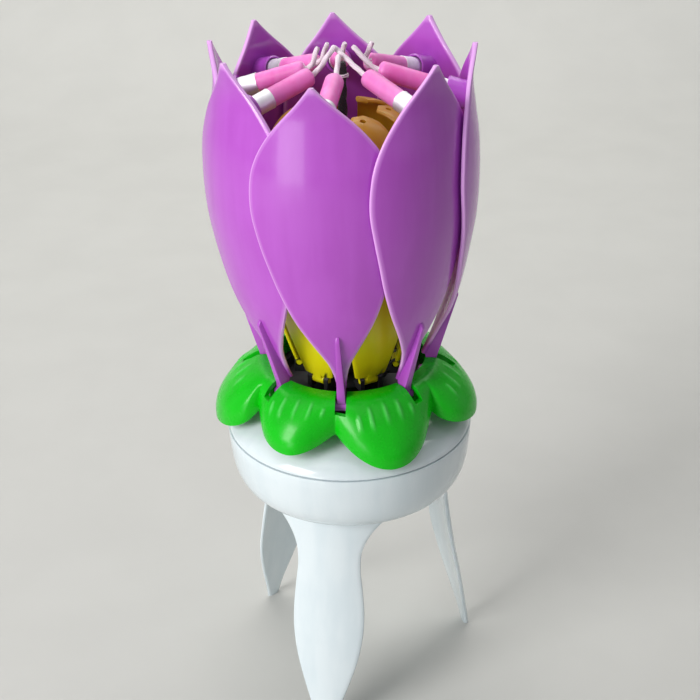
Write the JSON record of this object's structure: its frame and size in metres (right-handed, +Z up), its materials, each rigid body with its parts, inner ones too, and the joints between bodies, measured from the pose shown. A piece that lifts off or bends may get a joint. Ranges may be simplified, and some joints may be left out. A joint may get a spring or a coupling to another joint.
{
  "type": "musical birthday candle",
  "caption": "Lotus-bud musical candle: hinged petals carry small candles round a central fountain and turn on a drum with three blade legs.",
  "frame": {"origin": "on the standing surface, under the centre of the bounding box, which is the flower's axis", "axes": "+Z up along the flower's axis, -Y towards the picture's viewer, +X to the viewer's right"},
  "size_m": [0.0691, 0.067, 0.176],
  "materials": {
    "petal_purple": "glossy translucent purple, lighter at the edges",
    "petal_yellow": "satin yellow-green",
    "leaf_green": "high gloss green",
    "gloss_white": "glossy, slightly cool white",
    "candle_pink": "soft wax sheen, with a foil end",
    "fountain_dark": "matte card and dark fuse",
    "works_natural": "natural moulded gear plastic",
    "works_black": "matte black",
    "board_green": "solder mask",
    "contact_brass": "rolled strip",
    "plated_steel": "bright plating"
  },
  "bodies": {
    "base": {"lower_housing": "gloss_white", "top_cover": "gloss_white", "battery_door": "gloss_white", "leg_1": "gloss_white", "leg_2": "gloss_white", "leg_3": "gloss_white", "cover_screw_1": "plated_steel", "cover_screw_2": "plated_steel", "cover_screw_3": "plated_steel", "button_cell_1": "plated_steel", "button_cell_2": "plated_steel", "button_cell_3": "plated_steel", "contact_plus": "contact_brass", "contact_minus": "contact_brass", "circuit_board": "board_green", "switch_leaf": "contact_brass", "sounder": "contact_brass", "chassis_plate": "works_black", "motor": "plated_steel", "idler_axle": "plated_steel"},
    "motor_rotor": {"motor_pinion": "works_natural"},
    "idler": {"idler_gear": "works_natural"},
    "flower_head": {"spindle": "works_natural", "spindle_gear": "works_natural", "petal_hub": "leaf_green", "leaf_collar": "leaf_green", "petal_crown": "petal_yellow", "fountain_tube": "fountain_dark", "fountain_fuse": "fountain_dark", "pusher_spring": "plated_steel"},
    "pusher": {"pusher": "works_natural"},
    "outer_1": {"outer_petal_1": "petal_purple", "outer_candle_1": "candle_pink"},
    "outer_2": {"outer_petal_2": "petal_purple", "outer_candle_2": "candle_pink"},
    "outer_3": {"outer_petal_3": "petal_purple", "outer_candle_3": "candle_pink"},
    "outer_4": {"outer_petal_4": "petal_purple", "outer_candle_4": "candle_pink"},
    "outer_5": {"outer_petal_5": "petal_purple", "outer_candle_5": "candle_pink"},
    "outer_6": {"outer_petal_6": "petal_purple", "outer_candle_6": "candle_pink"},
    "outer_7": {"outer_petal_7": "petal_purple", "outer_candle_7": "candle_pink"},
    "outer_8": {"outer_petal_8": "petal_purple", "outer_candle_8": "candle_pink"},
    "inner_1": {"inner_petal_1": "petal_yellow", "inner_candle_1": "candle_pink"},
    "inner_2": {"inner_petal_2": "petal_yellow", "inner_candle_2": "candle_pink"},
    "inner_3": {"inner_petal_3": "petal_yellow", "inner_candle_3": "candle_pink"},
    "inner_4": {"inner_petal_4": "petal_yellow", "inner_candle_4": "candle_pink"},
    "inner_5": {"inner_petal_5": "petal_yellow", "inner_candle_5": "candle_pink"},
    "inner_6": {"inner_petal_6": "petal_yellow", "inner_candle_6": "candle_pink"}
  },
  "joints": [
    {"name": "flower_turn", "type": "hinge", "parent": "base", "child": "flower_head", "pos_m": [0, 0, 0.08], "axis": [0, 0, 1], "continuous": true},
    {"name": "idler_spin", "type": "hinge", "parent": "base", "child": "idler", "pos_m": [0.00913, 0.00262, 0.077], "axis": [0, 0, 1], "continuous": true},
    {"name": "motor_spin", "type": "hinge", "parent": "base", "child": "motor_rotor", "pos_m": [0.01682, 0.00482, 0.075], "axis": [0, 0, 1], "continuous": true},
    {"name": "pusher_slide", "type": "slide", "parent": "flower_head", "child": "pusher", "axis": [0, 0, 1], "range_m": [0, 0.0032], "deforming": ["pusher_spring"]},
    {"name": "outer_petal_1_hinge", "type": "hinge", "parent": "flower_head", "child": "outer_1", "pos_m": [-0.00186, -0.02132, 0.0926], "axis": [0.9962, -0.0872, 0], "range_deg": [0, 66]},
    {"name": "outer_petal_2_hinge", "type": "hinge", "parent": "flower_head", "child": "outer_2", "pos_m": [0.01376, -0.01639, 0.0926], "axis": [0.766, 0.6428, 0], "range_deg": [0, 66]},
    {"name": "outer_petal_3_hinge", "type": "hinge", "parent": "flower_head", "child": "outer_3", "pos_m": [0.02132, -0.00186, 0.0926], "axis": [0.0872, 0.9962, 0], "range_deg": [0, 66]},
    {"name": "outer_petal_4_hinge", "type": "hinge", "parent": "flower_head", "child": "outer_4", "pos_m": [0.01639, 0.01376, 0.0926], "axis": [-0.6428, 0.766, 0], "range_deg": [0, 66]},
    {"name": "outer_petal_5_hinge", "type": "hinge", "parent": "flower_head", "child": "outer_5", "pos_m": [0.00186, 0.02132, 0.0926], "axis": [-0.9962, 0.0872, 0], "range_deg": [0, 66]},
    {"name": "outer_petal_6_hinge", "type": "hinge", "parent": "flower_head", "child": "outer_6", "pos_m": [-0.01376, 0.01639, 0.0926], "axis": [-0.766, -0.6428, 0], "range_deg": [0, 66]},
    {"name": "outer_petal_7_hinge", "type": "hinge", "parent": "flower_head", "child": "outer_7", "pos_m": [-0.02132, 0.00186, 0.0926], "axis": [-0.0872, -0.9962, 0], "range_deg": [0, 66]},
    {"name": "outer_petal_8_hinge", "type": "hinge", "parent": "flower_head", "child": "outer_8", "pos_m": [-0.01639, -0.01376, 0.0926], "axis": [0.6428, -0.766, 0], "range_deg": [0, 66]},
    {"name": "inner_petal_1_hinge", "type": "hinge", "parent": "flower_head", "child": "inner_1", "pos_m": [0.0052, -0.01115, 0.0942], "axis": [0.9063, 0.4226, 0], "range_deg": [0, 35]},
    {"name": "inner_petal_2_hinge", "type": "hinge", "parent": "flower_head", "child": "inner_2", "pos_m": [0.01225, -0.00107, 0.0942], "axis": [0.0872, 0.9962, 0], "range_deg": [0, 35]},
    {"name": "inner_petal_3_hinge", "type": "hinge", "parent": "flower_head", "child": "inner_3", "pos_m": [0.00705, 0.01008, 0.0942], "axis": [-0.8192, 0.5736, 0], "range_deg": [0, 35]},
    {"name": "inner_petal_4_hinge", "type": "hinge", "parent": "flower_head", "child": "inner_4", "pos_m": [-0.0052, 0.01115, 0.0942], "axis": [-0.9063, -0.4226, 0], "range_deg": [0, 35]},
    {"name": "inner_petal_5_hinge", "type": "hinge", "parent": "flower_head", "child": "inner_5", "pos_m": [-0.01225, 0.00107, 0.0942], "axis": [-0.0872, -0.9962, 0], "range_deg": [0, 35]},
    {"name": "inner_petal_6_hinge", "type": "hinge", "parent": "flower_head", "child": "inner_6", "pos_m": [-0.00705, -0.01008, 0.0942], "axis": [0.8192, -0.5736, 0], "range_deg": [0, 35]}
  ],
  "couplings": [
    {"joint": "idler_spin", "follows": "flower_turn", "ratio": -3.75},
    {"joint": "motor_spin", "follows": "flower_turn", "ratio": 11.25},
    {"joint": "pusher_slide", "follows": "outer_petal_1_hinge", "m_per_rad": 0.00276},
    {"joint": "outer_petal_2_hinge", "follows": "outer_petal_1_hinge", "ratio": 1},
    {"joint": "outer_petal_3_hinge", "follows": "outer_petal_1_hinge", "ratio": 1},
    {"joint": "outer_petal_4_hinge", "follows": "outer_petal_1_hinge", "ratio": 1},
    {"joint": "outer_petal_5_hinge", "follows": "outer_petal_1_hinge", "ratio": 1},
    {"joint": "outer_petal_6_hinge", "follows": "outer_petal_1_hinge", "ratio": 1},
    {"joint": "outer_petal_7_hinge", "follows": "outer_petal_1_hinge", "ratio": 1},
    {"joint": "outer_petal_8_hinge", "follows": "outer_petal_1_hinge", "ratio": 1},
    {"joint": "inner_petal_1_hinge", "follows": "outer_petal_1_hinge", "ratio": 0.53},
    {"joint": "inner_petal_2_hinge", "follows": "outer_petal_1_hinge", "ratio": 0.53},
    {"joint": "inner_petal_3_hinge", "follows": "outer_petal_1_hinge", "ratio": 0.53},
    {"joint": "inner_petal_4_hinge", "follows": "outer_petal_1_hinge", "ratio": 0.53},
    {"joint": "inner_petal_5_hinge", "follows": "outer_petal_1_hinge", "ratio": 0.53},
    {"joint": "inner_petal_6_hinge", "follows": "outer_petal_1_hinge", "ratio": 0.53}
  ]
}
